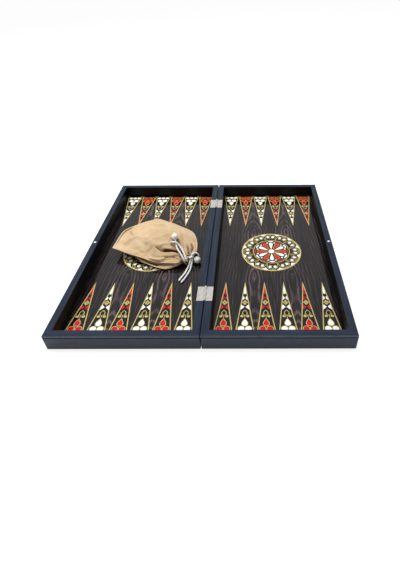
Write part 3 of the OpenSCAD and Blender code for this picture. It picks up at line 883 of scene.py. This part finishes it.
def settle(piece, start):
    """Swells the bag in a short cloth simulation, and then presses its folds in."""
    last_frame, furthest = 16, 4.0
    piece.vertex_groups.new(name="seams").add(held, 1.0, "REPLACE")
    modifier = piece.modifiers.new("cloth", "CLOTH")
    cloth = modifier.settings
    cloth.quality, cloth.mass, cloth.air_damping = 6, 0.2, 3.0
    cloth.tension_stiffness = cloth.compression_stiffness = 25
    cloth.bending_stiffness = 0.4
    cloth.vertex_group_mass = "seams"
    cloth.use_pressure, cloth.uniform_pressure_force = True, 3.0
    cloth.shrink_min = -0.015
    cloth.effector_weights.gravity = 0
    modifier.point_cache.frame_start, modifier.point_cache.frame_end = 1, last_frame
    for frame_number in range(1, last_frame + 1):
        scene.frame_set(frame_number)
    graph = bpy.context.evaluated_depsgraph_get()
    settled = np.array([v.co[:] for v in piece.evaluated_get(graph).data.vertices]) / MM
    piece.modifiers.clear()
    scene.frame_set(1)
    move = settled - start
    size = np.linalg.norm(move, axis=1, keepdims=True)
    settled = start + move * np.minimum(1, furthest / np.maximum(size, 1e-6))
    settled[:, 2] -= 0.85 * bag_depths
    settled = round_contents(settled)
    tuck(settled, main_fold[:-1], 3.6, 3.0)
    tuck(settled, lower_fold, 2.2, 2.4)
    place_points(piece, settled)


def paint_crease_shade(piece):
    """Paints shade into the folds' creases, as a point attribute that darkens the cloth's colour."""
    xy = points_of(piece)[:, :2]
    shade = np.zeros(len(xy))
    for line, strength, width in crease_shade_lines:
        gap, along = near_line(xy, line)
        taper = smoothstep(0, 0.3, along) * smoothstep(0, 0.15, 1 - along) * on_top
        shade = np.maximum(shade, strength * np.exp(-(gap / width) ** 2) * taper)
    piece.data.attributes.new("painted_crease_shade", "FLOAT", "POINT").data.foreach_set("value", shade)


def drawstring_bag():
    """The bag as one closed mesh of thick cloth."""
    start = round_contents(press_down(bag_verts.copy()))
    start[:, 2] -= 0.4 * bag_depths
    piece = add_piece("drawstring_bag", start * MM, bag_faces, COTTON, "pouch")
    settle(piece, start)
    paint_crease_shade(piece)
    smoother = piece.modifiers.new("round", "SUBSURF")
    smoother.levels = smoother.render_levels = 1
    apply_modifiers(piece)
    points = keep_clear(press_down(points_of(piece)), cord_lines, 2.6)
    points[:, 2] = np.clip(points[:, 2], field + 1.2, 54.0)
    place_points(piece, points)
    skin = piece.modifiers.new("cloth_thickness", "SOLIDIFY")
    skin.thickness, skin.offset = 0.8 * MM, 0.0
    apply_modifiers(piece)
    for face in piece.data.polygons:
        face.use_smooth = True
    return piece


bag = drawstring_bag()
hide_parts("pouch")


def seam_line():
    """Points along the three sewn sides, and the way out of the bag at each."""
    seam = np.concatenate([upper_side[:rows - 5, 0][::-1], upper_side[0, 1:-1], upper_side[:rows - 5, -1]])
    seam, _ = smooth_path(seam[::2], 1.6)
    inward = seam.mean(0) - seam
    ways = np.gradient(seam, axis=0)
    outward = np.stack([ways[:, 1], -ways[:, 0], 0 * ways[:, 0]], 1)
    outward *= -np.sign((outward * inward).sum(1))[:, None] / np.linalg.norm(outward, axis=1)[:, None]
    knots = np.arange(0, len(seam), 9)
    ripple = np.interp(np.arange(len(seam)), knots, np.random.default_rng(5).uniform(-0.5, 0.5, len(knots)))
    return seam + 0.1 * outward + np.stack([0 * ripple, 0 * ripple, 0.7 * ripple], 1), outward


def seam_fin(middle, outward):
    """The flat roll of cloth along the seam."""
    sides, fin_reach, fin_height = 14, 1.6, 0.75
    turn = np.arange(sides) * 2 * math.pi / sides
    from_end = np.minimum(np.arange(len(middle)), np.arange(len(middle))[::-1])
    ends = np.minimum(1, (from_end + 1) / 4)[:, None, None]
    out = fin_reach * np.sign(np.cos(turn)) * abs(np.cos(turn)) ** 0.7
    rings = (middle[:, None] + ends * out[None, :, None] * outward[:, None]
             + ends * (fin_height * np.sin(turn))[None, :, None] * np.array([0, 0, 1.0]))
    faces = [(i * sides + k, (i + 1) * sides + k, (i + 1) * sides + (k + 1) % sides,
              i * sides + (k + 1) % sides) for i in range(len(middle) - 1) for k in range(sides)]
    faces += [tuple(range(sides)), tuple((len(middle) - 1) * sides + k for k in range(sides))[::-1]]
    return add_piece("bag_seam", rings.reshape(-1, 3) * MM, faces, COTTON, "pouch")


def seam_stitches(middle, outward):
    """A running stitch on top of the seam."""
    verts, faces = [], []
    for k in range(3, len(middle) - 3, 2):
        before, here, after = (middle[[k - 1, k, k + 1]] + np.array([0, 0, 0.66])
                               - 0.3 * outward[[k - 1, k, k + 1]])
        line = np.stack([here + (after - before) * f for f in (-0.3, -0.1, 0.1, 0.3)])
        more, more_faces = tube(line * MM, np.array([0.12, 0.26, 0.26, 0.12])[:, None] * MM, 6)
        faces += [tuple(v + len(verts) for v in face) for face in more_faces]
        verts += more
    return add_piece("bag_stitches", verts, faces, CORD, "pouch")


seam_middle, seam_out = seam_line()
fin, stitches = seam_fin(seam_middle, seam_out), seam_stitches(seam_middle, seam_out)


# ---- Floor, backdrop and lights ----

def stage_light(name, place, size, power):
    """A soft lamp that points at the middle of the set and has no mirror image in it."""
    lamp = bpy.data.lights.new(name, "AREA")
    lamp.shape, lamp.size, lamp.size_y = "RECTANGLE", size[0], size[1]
    lamp.energy = power
    holder = bpy.data.objects.new(name, lamp)
    scene.collection.objects.link(holder)
    holder.location = place
    holder.visible_glossy = False
    holder.rotation_euler = (-Vector(place)).to_track_quat("-Z", "Y").to_euler()


def add_node(tree, kind, **settings):
    """A shader node with its settings."""
    made = tree.nodes.new("ShaderNode" + kind)
    for key, value in settings.items():
        setattr(made, key, value)
    return made


def either(tree, *sockets):
    """The greatest of a few sockets."""
    greatest = sockets[0]
    for socket in sockets[1:]:
        larger = add_node(tree, "Math", operation="MAXIMUM")
        tree.links.new(greatest, larger.inputs[0])
        tree.links.new(socket, larger.inputs[1])
        greatest = larger.outputs[0]
    return greatest


def floor_finish():
    """White paper that glows for the eye and in reflections, and is greyer to bounced light."""
    paper = bpy.data.materials.new("floor_paper")
    paper.use_nodes = True
    tree = paper.node_tree
    tree.nodes.clear()
    rays = add_node(tree, "LightPath").outputs
    seen = either(tree, rays["Is Camera Ray"], rays["Is Glossy Ray"], rays["Is Transmission Ray"])
    tone = add_node(tree, "Mix", data_type="RGBA")
    tone.inputs[6].default_value = (0.42, 0.42, 0.42, 1)
    tone.inputs[7].default_value = (0.8, 0.8, 0.8, 1)
    dim = add_node(tree, "Math", operation="MULTIPLY")
    dim.inputs[1].default_value = 0.68
    matte, glow, both, out = [add_node(tree, k) for k in
                              ("BsdfDiffuse", "Emission", "AddShader", "OutputMaterial")]
    for start, end in ((seen, tone.inputs[0]), (tone.outputs[2], matte.inputs["Color"]),
                       (seen, dim.inputs[0]), (dim.outputs[0], glow.inputs["Strength"]),
                       (matte.outputs[0], both.inputs[0]), (glow.outputs[0], both.inputs[1]),
                       (both.outputs[0], out.inputs["Surface"])):
        tree.links.new(start, end)
    return paper


def studio_world():
    """Even white: full strength behind the set, less as light on it, and between them in its reflections."""
    world = bpy.data.worlds.new("studio")
    world.use_nodes = True
    tree = world.node_tree
    rays = add_node(tree, "LightPath").outputs
    level = add_node(tree, "Mix", data_type="FLOAT")
    level.inputs[2].default_value = 0.38
    level.inputs[3].default_value = 1.0
    shine = add_node(tree, "Math", operation="MULTIPLY_ADD")
    shine.inputs[1].default_value = 0.14
    background = tree.nodes["Background"]
    background.inputs["Color"].default_value = (1, 1, 1, 1)
    for start, end in ((either(tree, rays["Is Camera Ray"], rays["Is Transmission Ray"]), level.inputs[0]),
                       (rays["Is Glossy Ray"], shine.inputs[0]), (level.outputs[0], shine.inputs[2]),
                       (shine.outputs[0], background.inputs["Strength"])):
        tree.links.new(start, end)
    return world


floor_mesh = bpy.data.meshes.new("floor")
reach, drop = 8.0, -0.0004
floor_mesh.from_pydata([(-reach, -reach, drop), (reach, -reach, drop), (reach, reach, drop),
                        (-reach, reach, drop)], [], [(0, 1, 2, 3)])
floor_mesh.materials.append(floor_finish())
floor = bpy.data.objects.new("floor", floor_mesh)
scene.collection.objects.link(floor)
scene.world = studio_world()
stage_light("key", (-0.5, 0.5, 1.5), (1.0, 1.0), 29.5)
stage_light("fill", (0.5, -1.4, 0.9), (1.4, 1.0), 1.5)
